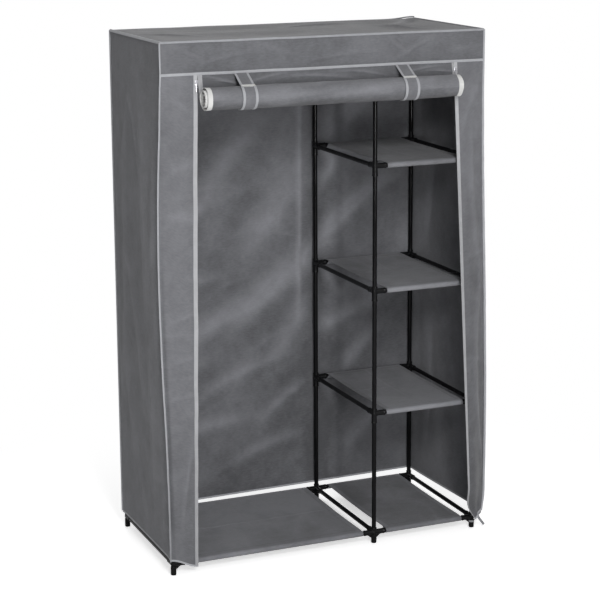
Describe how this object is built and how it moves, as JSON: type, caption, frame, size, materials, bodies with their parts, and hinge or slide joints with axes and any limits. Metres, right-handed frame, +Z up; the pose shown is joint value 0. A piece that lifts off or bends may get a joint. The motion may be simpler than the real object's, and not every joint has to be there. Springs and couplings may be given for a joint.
{
  "type": "portable fabric wardrobe",
  "caption": "Free-standing wardrobe of plug-together tubes under a cloth cover, with a hanging bay, cloth shelves beside it and a zipped front door that rolls up.",
  "frame": {"origin": "floor level, centred under the whole part's box", "axes": "+Z up, -Y out of the open front, +X towards the shelf side"},
  "size_m": [1.1686, 0.6092, 1.7284],
  "materials": {
    "tube": "satin black paint",
    "connector": "moulded black plastic",
    "cloth": "matt non-woven cloth, cool grey",
    "binding": "light grey binding tape",
    "metal": "bright zip hardware"
  },
  "bodies": {
    "frame": {"base_tube_back_left": "tube", "base_tube_back_right": "tube", "base_tube_front_left": "tube", "base_tube_front_right": "tube", "base_tube_side_left": "tube", "base_tube_side_middle": "tube", "base_tube_side_right": "tube", "corner_tie": "binding", "cover_back": "cloth", "cover_left": "cloth", "cover_right": "cloth", "cover_top": "cloth", "cover_valance": "cloth", "door_sheet": "cloth", "flap_left": "cloth", "flap_right": "cloth", "floor_shelf_left": "cloth", "floor_shelf_right": "cloth", "foot_connector_back_left": "connector", "foot_connector_back_middle": "connector", "foot_connector_back_right": "connector", "foot_connector_front_left": "connector", "foot_connector_front_middle": "connector", "foot_connector_front_right": "connector", "hanging_rail": "tube", "post_back_left": "tube", "post_back_middle": "tube", "post_back_right": "tube", "post_front_left": "tube", "post_front_middle": "tube", "post_front_right": "tube", "roll_strap_left": "cloth", "roll_strap_right": "cloth", "shelf_bracket_high_middle": "connector", "shelf_bracket_high_right": "connector", "shelf_bracket_low_middle": "connector", "shelf_bracket_low_right": "connector", "shelf_bracket_mid_middle": "connector", "shelf_bracket_mid_right": "connector", "shelf_high": "cloth", "shelf_low": "cloth", "shelf_mid": "cloth", "shelf_tube_back_high": "tube", "shelf_tube_back_low": "tube", "shelf_tube_back_mid": "tube", "shelf_tube_front_high": "tube", "shelf_tube_front_low": "tube", "shelf_tube_front_mid": "tube", "side_brace_left": "connector", "top_bracket_left": "connector", "top_bracket_middle": "connector", "top_bracket_right": "connector", "top_tube_back": "tube", "top_tube_front": "tube"},
    "door": {"door_roll": "cloth"},
    "left_slider": {"zip_slider_left": "metal"},
    "right_slider": {"zip_slider_right": "metal"},
    "left_pull": {"zip_pull_left": "metal"},
    "right_pull": {"zip_pull_right": "metal"}
  },
  "joints": [
    {"name": "door_drop", "type": "slide", "parent": "frame", "child": "door", "axis": [0, 0, -1], "range_m": [0, 1.472], "deforming": ["door_sheet", "roll_strap_left", "roll_strap_right"]},
    {"name": "left_zip_run", "type": "slide", "parent": "frame", "child": "left_slider", "axis": [-0.0156, 0, -0.9999], "range_m": [0, 1.538]},
    {"name": "right_zip_run", "type": "slide", "parent": "frame", "child": "right_slider", "axis": [0.0281, -0.045, -0.9986], "range_m": [0, 1.422]},
    {"name": "left_pull_swing", "type": "hinge", "parent": "left_slider", "child": "left_pull", "pos_m": [-0.45033, -0.22373, 1.6004], "axis": [-1, 0, 0], "range_deg": [0, 150]},
    {"name": "right_pull_swing", "type": "hinge", "parent": "right_slider", "child": "right_pull", "pos_m": [0.45067, -0.22573, 1.6004], "axis": [-1, 0, 0], "range_deg": [0, 150]}
  ]
}
